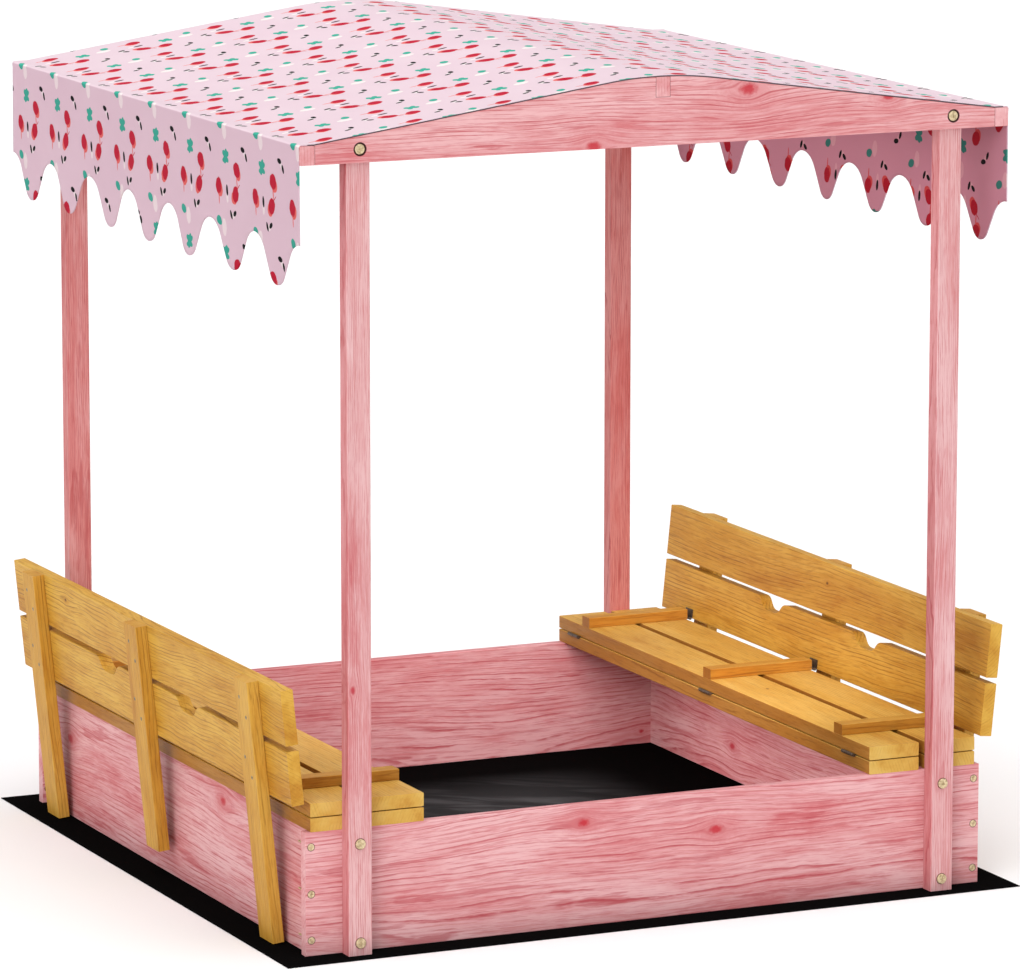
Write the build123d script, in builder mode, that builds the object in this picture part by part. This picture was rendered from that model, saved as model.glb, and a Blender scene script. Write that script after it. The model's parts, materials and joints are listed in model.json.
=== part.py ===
from build123d import *
import math
import os
from collections import namedtuple

# A square sandbox under a low gabled roof. The two side benches fold inwards to make the cover.
# Millimetres, +Z up, X across the roof's slopes, Y along the ridge, origin on the ground at the centre.

# Box
ground_sheet_length = 1304
ground_sheet_width = 1302
ground_sheet_thickness = 1
box_length = 1200
box_half_depth = 599
wall_height = 200
wall_thickness = 18
side_wall_outer_x = 589.7
wall_top = ground_sheet_thickness + wall_height

# Posts
post_outer_x = 538
post_width = 40
post_depth = 27
post_lap_depth = 18
post_top = 1295

# Roof frame
gable_bottom = 1259
eave_top = 1289
ridge_top = 1367.4
gable_half_length = 594
gable_thickness = 18
gable_outer_y = box_half_depth + post_lap_depth + gable_thickness
eave_rail_width = 24
ridge_bar_width = 24
ridge_bar_height = 31
ridge_bar_drop = 0.2
roof_pitch = 8.15

# Canopy
fabric_gap = 0.3
fabric_thickness = 1
canopy_half_length = 632
valance_tip_drop = 228
valance_arch_drop = 155
valance_scallops = 7
scallop_tip_radius = 30
scallop_arch_radius = 50

# Benches
bench_half_length = 598.5
bench_inner_x = 397
bench_outer_x = 591.4
seat_slat_width = 91
seat_slat_thickness = 22
seat_crease = 2
seat_batten_width = 29
seat_batten_height = 18
seat_batten_y = 487

# Backrests
back_lean = 5.7
back_inner_x = 601.7
back_slat_thickness = 21
back_lower_width = 88
back_slat_gap = 9.5
back_upper_width = 89.5
back_batten_width = 56
back_batten_thickness = 20
back_batten_y = 480
back_outer_tail = 241.5
back_middle_tail = 195.5
hand_hold_y = 178
hand_hold_width = 113
hand_hold_depth = 21
hand_hold_flat = 30

# Seat hinges, in the crease along the benches' inner edge
seat_hinge_x = 393.5
seat_hinge_y = 530
seat_hinge_length = 40
seat_hinge_middle = 13.6
seat_hinge_knuckle_gap = 0.4
seat_knuckle_radius = 3
seat_pin_radius = 1.5
seat_leaf_reach = 26.5
seat_leaf_gap = 0.3
fixed_leaf_thickness = 0.9
moving_leaf_thickness = 0.5

# Back hinges, between the seat battens and the backrest
back_pin_rise = 1
back_pin_stand_off = 4
back_hinge_length = 28
back_hinge_middle = 11.2
back_hinge_knuckle_gap = 0.3
back_knuckle_radius = 2.6
back_pin_radius = 1.2
back_leaf_thickness = 1
back_leaf_height = 16
back_tab_thickness = 1.2

# Fasteners
Screw = namedtuple("Screw", "head_radius shank_radius length")
corner_screw = Screw(5.6, 1.5, 50)
corner_screw_x = 590.5
board_screw = Screw(4, 2, 38)
batten_screw = Screw(3.2, 1.6, 35)
roof_screw = Screw(4, 2, 60)
wall_bolt = Screw(8.3, 3, 43)
wall_bolt_head = 3
gable_bolt = Screw(8.25, 4, 36.4)
gable_bolt_head = 3.2
gable_recess_radius = 10
gable_recess_depth = 3.6
nut_radius = 7
nut_height = 4
hole_clearance = 0.1
pin_clearance = 0.05
edge_round = 1.5
drive_width = 1.1
drive_depth = 1.1

# Heights and places that follow from the sizes above
seat_hinge_z = wall_top + seat_slat_thickness + seat_crease / 2 + 0.2
seat_bottom = wall_top + seat_slat_thickness + seat_crease
seat_top = seat_bottom + seat_slat_thickness
base_top = wall_top + seat_slat_thickness
back_top = back_lower_width + back_slat_gap + back_upper_width
lean_sin = math.sin(math.radians(back_lean))
lean_cos = math.cos(math.radians(back_lean))
back_pin_u = (back_pin_rise - back_pin_stand_off * lean_sin) / lean_cos
back_pin_x = back_inner_x + back_pin_u * lean_sin - back_pin_stand_off * lean_cos
back_pin_z = seat_top + back_pin_rise
pitch_sin = math.sin(math.radians(roof_pitch))
pitch_cos = math.cos(math.radians(roof_pitch))
pitch_tan = pitch_sin / pitch_cos
crown_radius = (eave_top + pitch_tan * gable_half_length - ridge_top) / (1 / pitch_cos - 1)
post_centre_x = post_outer_x - post_width / 2
post_outer_y = box_half_depth + post_depth
roof_half_width = gable_half_length + eave_rail_width

Xs = (-1, 1)
Ys = (-1, 1)
BENCHES = {"left": -1, "right": 1}
BATTENS = {"front": -1, "middle": 0, "back": 1}
TOP = (Align.CENTER, Align.CENTER, Align.MAX)
BASE = (Align.CENTER, Align.CENTER, Align.MIN)

os.makedirs("parts", exist_ok=True)


def save(piece, node):
    """Label a finished piece and write it under its node's name."""
    piece.part.label = node
    export_step(piece.part, f"parts/{node}.step")


def facing(x, y, z, direction):
    """A plane at a point, looking the way a fastener's head faces."""
    return Plane(origin=(x, y, z), z_dir=direction)


def drill(screw, spots):
    """Clearance holes for the shanks of fasteners whose heads are at these spots."""
    with Locations(*spots):
        Hole(screw.shank_radius + hole_clearance, screw.length + hole_clearance)


def sink(screw, spots):
    """Countersunk holes, so that the heads lie flush with the surface."""
    with Locations(*spots):
        CounterSinkHole(
            screw.shank_radius + hole_clearance,
            screw.head_radius + hole_clearance,
            screw.length + hole_clearance,
            counter_sink_angle=90,
        )


def board(x, y, z, grain, frame=Plane.XY):
    """A planed board that fills three spans of a frame, with its long edges eased."""
    with BuildPart() as piece:
        with BuildSketch(frame.offset(z[0])):
            with Locations(((x[0] + x[1]) / 2, (y[0] + y[1]) / 2)):
                Rectangle(abs(x[1] - x[0]), abs(y[1] - y[0]))
        extrude(amount=z[1] - z[0])
        fillet(piece.edges().filter_by(grain), edge_round)
    return piece


def drilled(blank, sunk=(), plain=()):
    """A board with countersunk and plain holes for pairs of fastener and spots."""
    with BuildPart() as piece:
        add(blank.part)
        for screw, spots in sunk:
            sink(screw, spots)
        for screw, spots in plain:
            drill(screw, spots)
    return piece


def wood_screws(node, screw, spots):
    """Countersunk cross-head screws, one at each spot."""
    cone_height = screw.head_radius - screw.shank_radius
    with BuildPart() as screws:
        with Locations(*spots):
            Cylinder(screw.shank_radius, screw.length, align=TOP)
            Cone(screw.shank_radius, screw.head_radius, cone_height, align=TOP)
            Box(screw.head_radius, drive_width, drive_depth, align=TOP, mode=Mode.SUBTRACT)
            Box(drive_width, screw.head_radius, drive_depth, align=TOP, mode=Mode.SUBTRACT)
    save(screws, node)


def bolts(node, bolt, head_height, spots):
    """Round-headed bolts with cross recesses: each spot is on the surface under the head."""
    with BuildPart() as pieces:
        with Locations(*spots):
            Cylinder(bolt.shank_radius, bolt.length, align=TOP)
            Cylinder(bolt.head_radius, head_height, align=BASE)
        rims = pieces.edges().filter_by(GeomType.CIRCLE)
        outer = rims.filter_by(lambda rim: rim.radius > bolt.shank_radius + 1)
        fillet(outer.group_by(lambda rim: round(abs(rim.center().Y), 3))[-1], head_height / 3)
        with Locations(*[spot.offset(head_height) for spot in spots]):
            Box(bolt.head_radius, drive_width, drive_depth, align=TOP, mode=Mode.SUBTRACT)
            Box(drive_width, bolt.head_radius, drive_depth, align=TOP, mode=Mode.SUBTRACT)
    save(pieces, node)


def nuts(node, bolt, spots):
    """Round sleeve nuts on the bolts' inner ends: each spot is on the surface under the nut."""
    with BuildPart() as pieces:
        with Locations(*spots):
            Cylinder(nut_radius, nut_height, align=BASE)
            Cylinder(bolt.shank_radius + hole_clearance, nut_height, align=BASE, mode=Mode.SUBTRACT)
    save(pieces, node)


# Fastener spots of the box and the roof frame

corner_spots = [
    facing(sx * corner_screw_x, sy * box_half_depth, ground_sheet_thickness + height, (0, sy, 0))
    for sx in Xs
    for sy in Ys
    for height in (25.4, 100, 176)
]
wall_bolt_spots = [
    facing(sx * post_centre_x, sy * post_outer_y, ground_sheet_thickness + height, (0, sy, 0))
    for sx in Xs
    for sy in Ys
    for height in (20, 180)
]
gable_bolt_spots = [
    facing(sx * post_centre_x, sy * (gable_outer_y - gable_recess_depth), 1280, (0, sy, 0))
    for sx in Xs
    for sy in Ys
]
gable_nut_spots = [
    facing(spot.origin.X, sy * box_half_depth, spot.origin.Z, (0, -sy, 0))
    for spot in gable_bolt_spots
    for sy in (math.copysign(1, spot.origin.Y),)
]
rail_screw_spots = [
    facing(sx * roof_half_width, sy * (gable_outer_y - gable_thickness / 2), gable_bottom + 15, (sx, 0, 0))
    for sx in Xs
    for sy in Ys
]
ridge_screw_spots = [
    facing(0, sy * (gable_outer_y - gable_thickness / 2), ridge_top - ridge_bar_drop, (0, 0, 1)) for sy in Ys
]
slat_spans = (
    (bench_inner_x, bench_inner_x + seat_slat_width),
    (bench_outer_x - seat_slat_width, bench_outer_x),
)


def base_screw_spots(side, span):
    """Two screws at each end of a base slat, down into the front and back walls."""
    middle = sum(span) / 2
    return [
        facing(side * (middle + dx), sy * (box_half_depth - wall_thickness / 2), base_top, (0, 0, 1))
        for dx in (-20, 20)
        for sy in Ys
    ]


all_base_spots = [
    spot for side in Xs for span in slat_spans for spot in base_screw_spots(side, span)
]

# The ground sheet, under the whole box

with BuildPart() as ground_sheet:
    with BuildSketch(Plane.XY):
        Rectangle(ground_sheet_length, ground_sheet_width)
    extrude(amount=ground_sheet_thickness)
save(ground_sheet, "ground_sheet")

# The four walls: the front and back boards cover the side boards' ends

for node, sy in {"front_wall": -1, "back_wall": 1}.items():
    blank = board(
        (-box_length / 2, box_length / 2),
        (sy * (box_half_depth - wall_thickness), sy * box_half_depth),
        (ground_sheet_thickness, wall_top),
        Axis.X,
    )
    wall = drilled(
        blank,
        sunk=[(corner_screw, corner_spots)],
        plain=[(wall_bolt, wall_bolt_spots), (board_screw, all_base_spots)],
    )
    save(wall, node)

for node, sx in {"left_wall": -1, "right_wall": 1}.items():
    blank = board(
        (sx * (side_wall_outer_x - wall_thickness), sx * side_wall_outer_x),
        (wall_thickness - box_half_depth, box_half_depth - wall_thickness),
        (ground_sheet_thickness, wall_top),
        Axis.Y,
    )
    wall = drilled(blank, plain=[(corner_screw, corner_spots)])
    save(wall, node)

# The posts stand outside the box and are lapped at the top for the gable beams

for front_or_back, sy in {"front": -1, "back": 1}.items():
    for left_or_right, sx in BENCHES.items():
        inner_x = sx * (post_outer_x - post_width)
        blank = board(
            (inner_x, sx * post_outer_x),
            (sy * box_half_depth, sy * post_outer_y),
            (ground_sheet_thickness, post_top),
            Axis.Z,
        )
        with BuildPart() as post:
            add(blank.part)
            with BuildSketch(Plane.XY.offset(gable_bottom)):
                with Locations((sx * post_centre_x, sy * (box_half_depth + post_lap_depth + post_depth / 2))):
                    Rectangle(post_width, post_depth)
            extrude(amount=post_top - gable_bottom, mode=Mode.SUBTRACT)
            drill(wall_bolt, wall_bolt_spots)
            drill(gable_bolt, gable_bolt_spots)
        save(post, f"post_{front_or_back}_{left_or_right}")


def roof_line(reach, lift):
    """The roof's top line: level over the eave rails, sloping up and rounded over the ridge."""
    level = eave_top + lift
    knee = gable_half_length + lift * (1 / pitch_cos - 1) / pitch_tan
    crown_x = (crown_radius + lift) * pitch_sin
    crown_z = ridge_top - crown_radius + (crown_radius + lift) * pitch_cos
    Polyline((-reach, level), (-knee, level), (-crown_x, crown_z))
    ThreePointArc((-crown_x, crown_z), (0, ridge_top + lift), (crown_x, crown_z))
    Polyline((crown_x, crown_z), (knee, level), (reach, level))


# The gable beams, notched at the peak for the ridge bar

for node, sy in {"front_gable_beam": -1, "back_gable_beam": 1}.items():
    with BuildPart() as gable:
        with BuildSketch(Plane.XZ.offset(-sy * gable_outer_y)):
            with BuildLine():
                roof_line(roof_half_width, 0)
                Polyline(
                    (-roof_half_width, eave_top),
                    (-roof_half_width, gable_bottom),
                    (roof_half_width, gable_bottom),
                    (roof_half_width, eave_top),
                )
            make_face()
            with Locations((-roof_half_width, gable_bottom), (roof_half_width, gable_bottom)):
                Rectangle(2 * eave_rail_width, 3 * eave_rail_width, mode=Mode.SUBTRACT)
            with Locations((0, ridge_top - ridge_bar_drop)):
                Rectangle(ridge_bar_width, 2 * ridge_bar_height, mode=Mode.SUBTRACT)
        extrude(amount=sy * gable_thickness)
        with Locations(*[spot.offset(gable_recess_depth) for spot in gable_bolt_spots]):
            CounterBoreHole(
                gable_bolt.shank_radius + hole_clearance,
                gable_recess_radius,
                gable_recess_depth,
                2 * gable_thickness,
            )
        drill(roof_screw, rail_screw_spots + ridge_screw_spots)
    save(gable, node)

# The ridge bar and the eave rails, with their end grain in the gables' faces

ridge_blank = board(
    (-ridge_bar_width / 2, ridge_bar_width / 2),
    (-gable_outer_y, gable_outer_y),
    (ridge_top - ridge_bar_drop - ridge_bar_height, ridge_top - ridge_bar_drop),
    Axis.Y,
)
save(drilled(ridge_blank, sunk=[(roof_screw, ridge_screw_spots)]), "ridge_bar")

for node, sx in {"left_eave_rail": -1, "right_eave_rail": 1}.items():
    blank = board(
        (sx * gable_half_length, sx * roof_half_width),
        (-gable_outer_y, gable_outer_y),
        (gable_bottom, eave_top),
        Axis.Y,
    )
    save(drilled(blank, sunk=[(roof_screw, rail_screw_spots)]), node)

wood_screws("roof_screws", roof_screw, rail_screw_spots + ridge_screw_spots)
wood_screws("corner_screws", corner_screw, corner_spots)
bolts("wall_bolts", wall_bolt, wall_bolt_head, wall_bolt_spots)
bolts("gable_bolts", gable_bolt, gable_bolt_head, gable_bolt_spots)
nuts("gable_bolt_nuts", gable_bolt, gable_nut_spots)

# The canopy: one cloth over the ridge, folded down over both eave rails into scalloped valances

fabric_lift = fabric_gap + fabric_thickness
eave_line = eave_top + fabric_lift
tip_z = eave_line - valance_tip_drop
arch_z = eave_line - valance_arch_drop
scallop_half = canopy_half_length / valance_scallops
centre_drop = (arch_z - scallop_arch_radius) - (tip_z + scallop_tip_radius)
centre_distance = math.hypot(scallop_half, centre_drop)
flank_angle = math.degrees(
    math.atan2(centre_drop, scallop_half)
    - math.acos((scallop_tip_radius + scallop_arch_radius) / centre_distance)
)


def on_arc(centre_y, centre_z, radius, degrees):
    """A point on a scallop's arc, by its angle from the +Y direction."""
    angle = math.radians(degrees)
    return centre_y + radius * math.cos(angle), centre_z + radius * math.sin(angle)


def scallop_flank(middle, hand):
    """Half a scallop, from the tip's lowest point out to the next arch's highest point."""
    tip = (middle, tip_z + scallop_tip_radius, scallop_tip_radius)
    arch = (middle + hand * scallop_half, arch_z - scallop_arch_radius, scallop_arch_radius)
    leave = -90 + hand * (90 + flank_angle)
    land = 90 + hand * (90 + flank_angle)
    ThreePointArc(on_arc(*tip, -90), on_arc(*tip, (leave - 90) / 2), on_arc(*tip, leave))
    Line(on_arc(*tip, leave), on_arc(*arch, land))
    ThreePointArc(on_arc(*arch, land), on_arc(*arch, (land + 90) / 2), on_arc(*arch, 90))


with BuildPart() as canopy:
    with BuildSketch(Plane.XZ):
        for lift, mode in ((fabric_lift, Mode.ADD), (fabric_gap, Mode.SUBTRACT)):
            side_x = roof_half_width + lift
            with BuildLine():
                roof_line(side_x, lift)
                Polyline(
                    (-side_x, eave_top + lift),
                    (-side_x, tip_z),
                    (side_x, tip_z),
                    (side_x, eave_top + lift),
                )
            make_face(mode=mode)
    extrude(amount=canopy_half_length, both=True)
    with BuildSketch(Plane.YZ):
        with BuildLine():
            for scallop in range(valance_scallops):
                middle = (2 * scallop + 1) * scallop_half - canopy_half_length
                scallop_flank(middle, -1)
                scallop_flank(middle, 1)
            Polyline(
                (canopy_half_length, arch_z),
                (canopy_half_length, tip_z - 1),
                (-canopy_half_length, tip_z - 1),
                (-canopy_half_length, arch_z),
            )
        make_face()
    extrude(amount=2 * roof_half_width, both=True, mode=Mode.SUBTRACT)
save(canopy, "canopy")


# The benches: fixed base slats, a folding seat panel, and a folding backrest


def seat_batten_spots(side, span, y):
    """Two staggered screws up through a seat slat into one batten, heads in the seat's underside."""
    middle = sum(span) / 2
    return [facing(side * (middle + d), y + 0.3 * d, seat_bottom, (0, 0, -1)) for d in (-20, 20)]


def back_frame(side):
    """The backrest's frame: its local X runs up the slope and its local Z points outwards."""
    return Plane(
        origin=(side * back_inner_x, 0, seat_top),
        x_dir=(side * lean_sin, 0, lean_cos),
        z_dir=(side * lean_cos, 0, -lean_sin),
    )


def back_spot(side, u, y, n, outwards):
    """A point of the backrest as a plane whose normal points outwards or inwards."""
    frame = back_frame(side)
    origin = frame.origin + frame.x_dir * u + Vector(0, y, 0) + frame.z_dir * n
    return Plane(origin=origin, x_dir=frame.x_dir, z_dir=frame.z_dir * outwards)


def back_batten_spots(side, slat_span, y):
    """Two staggered screws through a long batten into one back slat."""
    middle = sum(slat_span) / 2
    surface = back_slat_thickness + back_batten_thickness
    return [back_spot(side, middle + d, y + 0.7 * d, surface, 1) for d in (-15, 15)]


def cut_hand_hold(side, y):
    """A hand hold in a slat's top edge: a shallow scoop with flared, S-shaped ends."""
    sweep_length = (hand_hold_width - hand_hold_flat) / 2
    turn = 2 * math.atan(hand_hold_depth / sweep_length)
    radius = sweep_length / (2 * math.sin(turn))
    with BuildSketch(back_spot(side, back_lower_width, y, 0, 1)) as scoop:
        with BuildLine():
            Polyline((edge_round, 0), (edge_round, hand_hold_width / 2), (0, hand_hold_width / 2))
            flare = JernArc((0, hand_hold_width / 2), (0, -1), radius, -math.degrees(turn))
            bottom = JernArc(flare @ 1, flare % 1, radius, math.degrees(turn))
            Line(bottom @ 1, (-hand_hold_depth, 0))
            mirror(about=Plane.XZ)
        make_face()
    extrude(scoop.sketch, amount=back_slat_thickness, mode=Mode.SUBTRACT)


lower_back = (0, back_lower_width)
upper_back = (back_lower_width + back_slat_gap, back_top)


def seat_hinge_leaves(side, moving):
    """The leaves of one bench's seat hinges: outer barrels on the base, middle barrels on the seat."""
    half = seat_hinge_length / 2
    middle_half = seat_hinge_middle / 2
    outer_start = middle_half + seat_hinge_knuckle_gap
    if moving:
        barrels = ((-middle_half, middle_half),)
        plate_z = (seat_hinge_z + 0.3, seat_bottom)
    else:
        barrels = ((-half, -outer_start), (outer_start, half))
        plate_z = (base_top, base_top + fixed_leaf_thickness)
    plate_x = seat_hinge_x + seat_knuckle_radius + seat_leaf_gap
    tab_x = seat_hinge_x + seat_pin_radius + 0.7
    with BuildPart() as leaves:
        for y in (-seat_hinge_y, 0, seat_hinge_y):
            for low, high in barrels:
                with BuildSketch(Plane.XZ.offset(-(y + low))):
                    with Locations((side * seat_hinge_x, seat_hinge_z)):
                        Circle(seat_knuckle_radius)
                extrude(amount=low - high)
                with BuildSketch(Plane.XY.offset(plate_z[0])):
                    with Locations((side * (tab_x + plate_x + 1) / 2, y + (low + high) / 2)):
                        Rectangle(plate_x + 1 - tab_x, high - low)
                extrude(amount=plate_z[1] - plate_z[0])
            with BuildSketch(Plane.XY.offset(plate_z[0])):
                with Locations((side * (plate_x + seat_hinge_x + seat_leaf_reach) / 2, y)):
                    Rectangle(seat_hinge_x + seat_leaf_reach - plate_x, seat_hinge_length)
            extrude(amount=plate_z[1] - plate_z[0])
            with BuildSketch(Plane.XZ.offset(-(y - half))):
                with Locations((side * seat_hinge_x, seat_hinge_z)):
                    Circle(seat_pin_radius if moving else seat_pin_radius + pin_clearance)
            extrude(amount=-seat_hinge_length, mode=Mode.ADD if moving else Mode.SUBTRACT)
    return leaves


def back_hinge_leaves(side, on_back):
    """The leaves of one bench's back hinges: outer barrels on the seat, middle barrels on the back."""
    half = back_hinge_length / 2
    middle_half = back_hinge_middle / 2
    outer_start = middle_half + back_hinge_knuckle_gap
    barrels = ((-middle_half, middle_half),) if on_back else ((-half, -outer_start), (outer_start, half))
    with BuildPart() as leaves:
        for y in (-seat_batten_y, 0, seat_batten_y):
            for low, high in barrels:
                with BuildSketch(Plane.XZ.offset(-(y + low))):
                    with Locations((side * back_pin_x, back_pin_z)):
                        Circle(back_knuckle_radius)
                    if not on_back:
                        tab_x = side * (bench_outer_x + back_pin_x) / 2
                        with Locations((tab_x, back_pin_z + back_knuckle_radius)):
                            Rectangle(
                                back_pin_x - bench_outer_x,
                                back_tab_thickness,
                                align=(Align.CENTER, Align.MAX),
                            )
                extrude(amount=low - high)
                if on_back:
                    with BuildSketch(back_spot(side, back_pin_u, y, 0, -1)):
                        Rectangle(2 * back_tab_thickness, high - low)
                    extrude(amount=back_pin_stand_off - back_pin_radius)
            if on_back:
                with BuildSketch(back_spot(side, back_pin_u, y, 0, -1)):
                    Rectangle(back_leaf_height, back_hinge_length, align=(Align.MIN, Align.CENTER))
                extrude(amount=back_leaf_thickness)
            else:
                plate_bottom = back_pin_z + back_knuckle_radius - back_tab_thickness
                with BuildSketch(Plane.XY.offset(plate_bottom)):
                    with Locations((side * (bench_outer_x + back_leaf_thickness / 2), y)):
                        Rectangle(back_leaf_thickness, back_hinge_length)
                extrude(amount=back_leaf_height - 2)
            with BuildSketch(Plane.XZ.offset(-(y - half))):
                with Locations((side * back_pin_x, back_pin_z)):
                    Circle(back_pin_radius if on_back else back_pin_radius + pin_clearance)
            extrude(amount=-back_hinge_length, mode=Mode.ADD if on_back else Mode.SUBTRACT)
    return leaves


for name, side in BENCHES.items():
    batten_ys = {batten: place * seat_batten_y for batten, place in BATTENS.items()}
    seat_spots = {
        (batten, span): seat_batten_spots(side, span, y)
        for batten, y in batten_ys.items()
        for span in slat_spans
    }
    back_ys = {batten: place * back_batten_y for batten, place in BATTENS.items()}
    back_spots = {
        (batten, span): back_batten_spots(side, span, y)
        for batten, y in back_ys.items()
        for span in (lower_back, upper_back)
    }
    bench_length = (-bench_half_length, bench_half_length)

    for place, span in zip(("inner", "outer"), slat_spans):
        across = (side * span[0], side * span[1])
        base_blank = board(across, bench_length, (wall_top, base_top), Axis.Y)
        base_slat = drilled(base_blank, sunk=[(board_screw, base_screw_spots(side, span))])
        save(base_slat, f"{name}_base_slat_{place}")
        seat_blank = board(across, bench_length, (seat_bottom, seat_top), Axis.Y)
        slat_spots = [spot for batten in BATTENS for spot in seat_spots[batten, span]]
        seat_slat = drilled(seat_blank, sunk=[(batten_screw, slat_spots)])
        save(seat_slat, f"{name}_seat_slat_{place}")
    bench_base_spots = [spot for span in slat_spans for spot in base_screw_spots(side, span)]
    wood_screws(f"{name}_base_screws", board_screw, bench_base_spots)

    for batten, y in batten_ys.items():
        blank = board(
            (side * bench_inner_x, side * bench_outer_x),
            (y - seat_batten_width / 2, y + seat_batten_width / 2),
            (seat_top, seat_top + seat_batten_height),
            Axis.X,
        )
        spots = [spot for span in slat_spans for spot in seat_spots[batten, span]]
        save(drilled(blank, plain=[(batten_screw, spots)]), f"{name}_seat_batten_{batten}")
    all_seat_spots = [spot for spots in seat_spots.values() for spot in spots]
    wood_screws(f"{name}_seat_batten_screws", batten_screw, all_seat_spots)

    frame = back_frame(side)
    for place, span in (("lower", lower_back), ("upper", upper_back)):
        slat = board(span, bench_length, (0, back_slat_thickness), Axis.Y, frame)
        with BuildPart() as back_slat:
            add(slat.part)
            if place == "lower":
                for sy in Ys:
                    cut_hand_hold(side, sy * hand_hold_y)
            for batten in BATTENS:
                drill(batten_screw, back_spots[batten, span])
        save(back_slat, f"{name}_back_slat_{place}")

    up_the_slope = Axis((0, 0, 0), frame.x_dir)
    for batten, y in back_ys.items():
        tail = back_middle_tail if batten == "middle" else back_outer_tail
        local_y = -side * y
        blank = board(
            (-tail, back_top),
            (local_y - back_batten_width / 2, local_y + back_batten_width / 2),
            (back_slat_thickness, back_slat_thickness + back_batten_thickness),
            up_the_slope,
            frame,
        )
        spots = back_spots[batten, lower_back] + back_spots[batten, upper_back]
        save(drilled(blank, sunk=[(batten_screw, spots)]), f"{name}_back_batten_{batten}")
    all_back_spots = [spot for spots in back_spots.values() for spot in spots]
    wood_screws(f"{name}_back_batten_screws", batten_screw, all_back_spots)

    save(seat_hinge_leaves(side, moving=False), f"{name}_seat_hinge_fixed_leaves")
    save(seat_hinge_leaves(side, moving=True), f"{name}_seat_hinge_moving_leaves")
    save(back_hinge_leaves(side, on_back=False), f"{name}_back_hinge_seat_leaves")
    save(back_hinge_leaves(side, on_back=True), f"{name}_back_hinge_back_leaves")
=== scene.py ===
import json
import math
import random

import bpy
import numpy as np
from mathutils import Matrix, Vector


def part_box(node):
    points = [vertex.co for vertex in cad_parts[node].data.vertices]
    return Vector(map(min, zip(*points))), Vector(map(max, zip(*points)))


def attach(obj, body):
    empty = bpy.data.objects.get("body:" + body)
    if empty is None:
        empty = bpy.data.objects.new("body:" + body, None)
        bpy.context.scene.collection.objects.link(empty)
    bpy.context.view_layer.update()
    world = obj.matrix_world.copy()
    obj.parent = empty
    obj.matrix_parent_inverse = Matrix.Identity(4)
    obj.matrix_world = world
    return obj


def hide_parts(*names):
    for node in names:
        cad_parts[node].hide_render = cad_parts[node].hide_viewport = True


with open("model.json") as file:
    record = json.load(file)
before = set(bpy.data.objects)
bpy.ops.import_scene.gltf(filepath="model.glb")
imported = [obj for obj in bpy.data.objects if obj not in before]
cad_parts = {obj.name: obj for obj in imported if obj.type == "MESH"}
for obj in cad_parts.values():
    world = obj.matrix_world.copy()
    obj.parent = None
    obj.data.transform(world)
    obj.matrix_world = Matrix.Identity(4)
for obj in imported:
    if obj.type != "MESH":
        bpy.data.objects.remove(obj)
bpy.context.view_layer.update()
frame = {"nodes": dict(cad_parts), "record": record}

random.seed(7)
X, Y, Z = 0, 1, 2


# ---------------------------------------------------------------- node trees


def linear(red, green, blue):
    """A colour given as 0 to 255 on a screen, as the linear RGBA that shaders take."""
    def decode(c):
        c /= 255
        return c / 12.92 if c <= 0.04045 else ((c + 0.055) / 1.055) ** 2.4
    return (decode(red), decode(green), decode(blue), 1.0)


class Tree:
    """A node tree, written as expressions: each method adds a node and returns its output."""

    def __init__(self, node_tree):
        self.tree = node_tree

    def node(self, kind, inputs=None, **settings):
        made = self.tree.nodes.new(kind)
        for name, value in settings.items():
            setattr(made, name, value)
        for name, value in (inputs or {}).items():
            self.feed(made.inputs[name], value)
        return made

    def feed(self, socket, value):
        if isinstance(value, bpy.types.NodeSocket):
            self.tree.links.new(value, socket)
        else:
            socket.default_value = value

    def math(self, operation, a, b=0.0, clamp=False):
        return self.node("ShaderNodeMath", {0: a, 1: b}, operation=operation, use_clamp=clamp).outputs[0]

    def add(self, a, b):
        return self.math("ADD", a, b)

    def sub(self, a, b):
        return self.math("SUBTRACT", a, b)

    def mul(self, a, b):
        return self.math("MULTIPLY", a, b)

    def smooth(self, value, low, high, to_low=0.0, to_high=1.0):
        """A smooth step from to_low to to_high as value goes from low to high."""
        return self.node(
            "ShaderNodeMapRange",
            {0: value, 1: low, 2: high, 3: to_low, 4: to_high},
            interpolation_type="SMOOTHSTEP",
        ).outputs[0]

    def vector(self, x, y, z):
        return self.node("ShaderNodeCombineXYZ", {0: x, 1: y, 2: z}).outputs[0]

    def split(self, vector):
        return self.node("ShaderNodeSeparateXYZ", {0: vector}).outputs

    def stretch(self, vector, factors):
        return self.node("ShaderNodeVectorMath", {0: vector, 1: factors}, operation="MULTIPLY").outputs[0]

    def turn(self, vector, angle, axis):
        """The vector turned about the model's X, Y or Z axis."""
        return self.node(
            "ShaderNodeVectorRotate", {"Vector": vector, "Angle": angle}, rotation_type=f"{axis}_AXIS",
        ).outputs[0]

    def noise(self, vector, scale=1.0, detail=2.0, roughness=0.5, distortion=0.0):
        made = self.node(
            "ShaderNodeTexNoise",
            {
                "Vector": vector, "Scale": scale, "Detail": detail, "Roughness": roughness,
                "Distortion": distortion,
            },
        )
        return made.outputs["Fac"]

    def mix(self, factor, a, b, blend="MIX"):
        made = self.node("ShaderNodeMix", data_type="RGBA", blend_type=blend)
        self.feed(made.inputs[0], factor)
        self.feed(made.inputs[6], a)
        self.feed(made.inputs[7], b)
        return made.outputs[2]

    def weave(self, u, v, step):
        """Threads that cross each other, two of them to every step."""
        warp = self.math("SINE", self.mul(u, 2 * math.pi / step))
        weft = self.math("SINE", self.mul(v, 2 * math.pi / step))
        return self.mul(warp, weft)

    def bump(self, height, distance, strength=1.0):
        made = self.node("ShaderNodeBump", {"Height": height, "Distance": distance, "Strength": strength})
        return made.outputs["Normal"]


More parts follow.
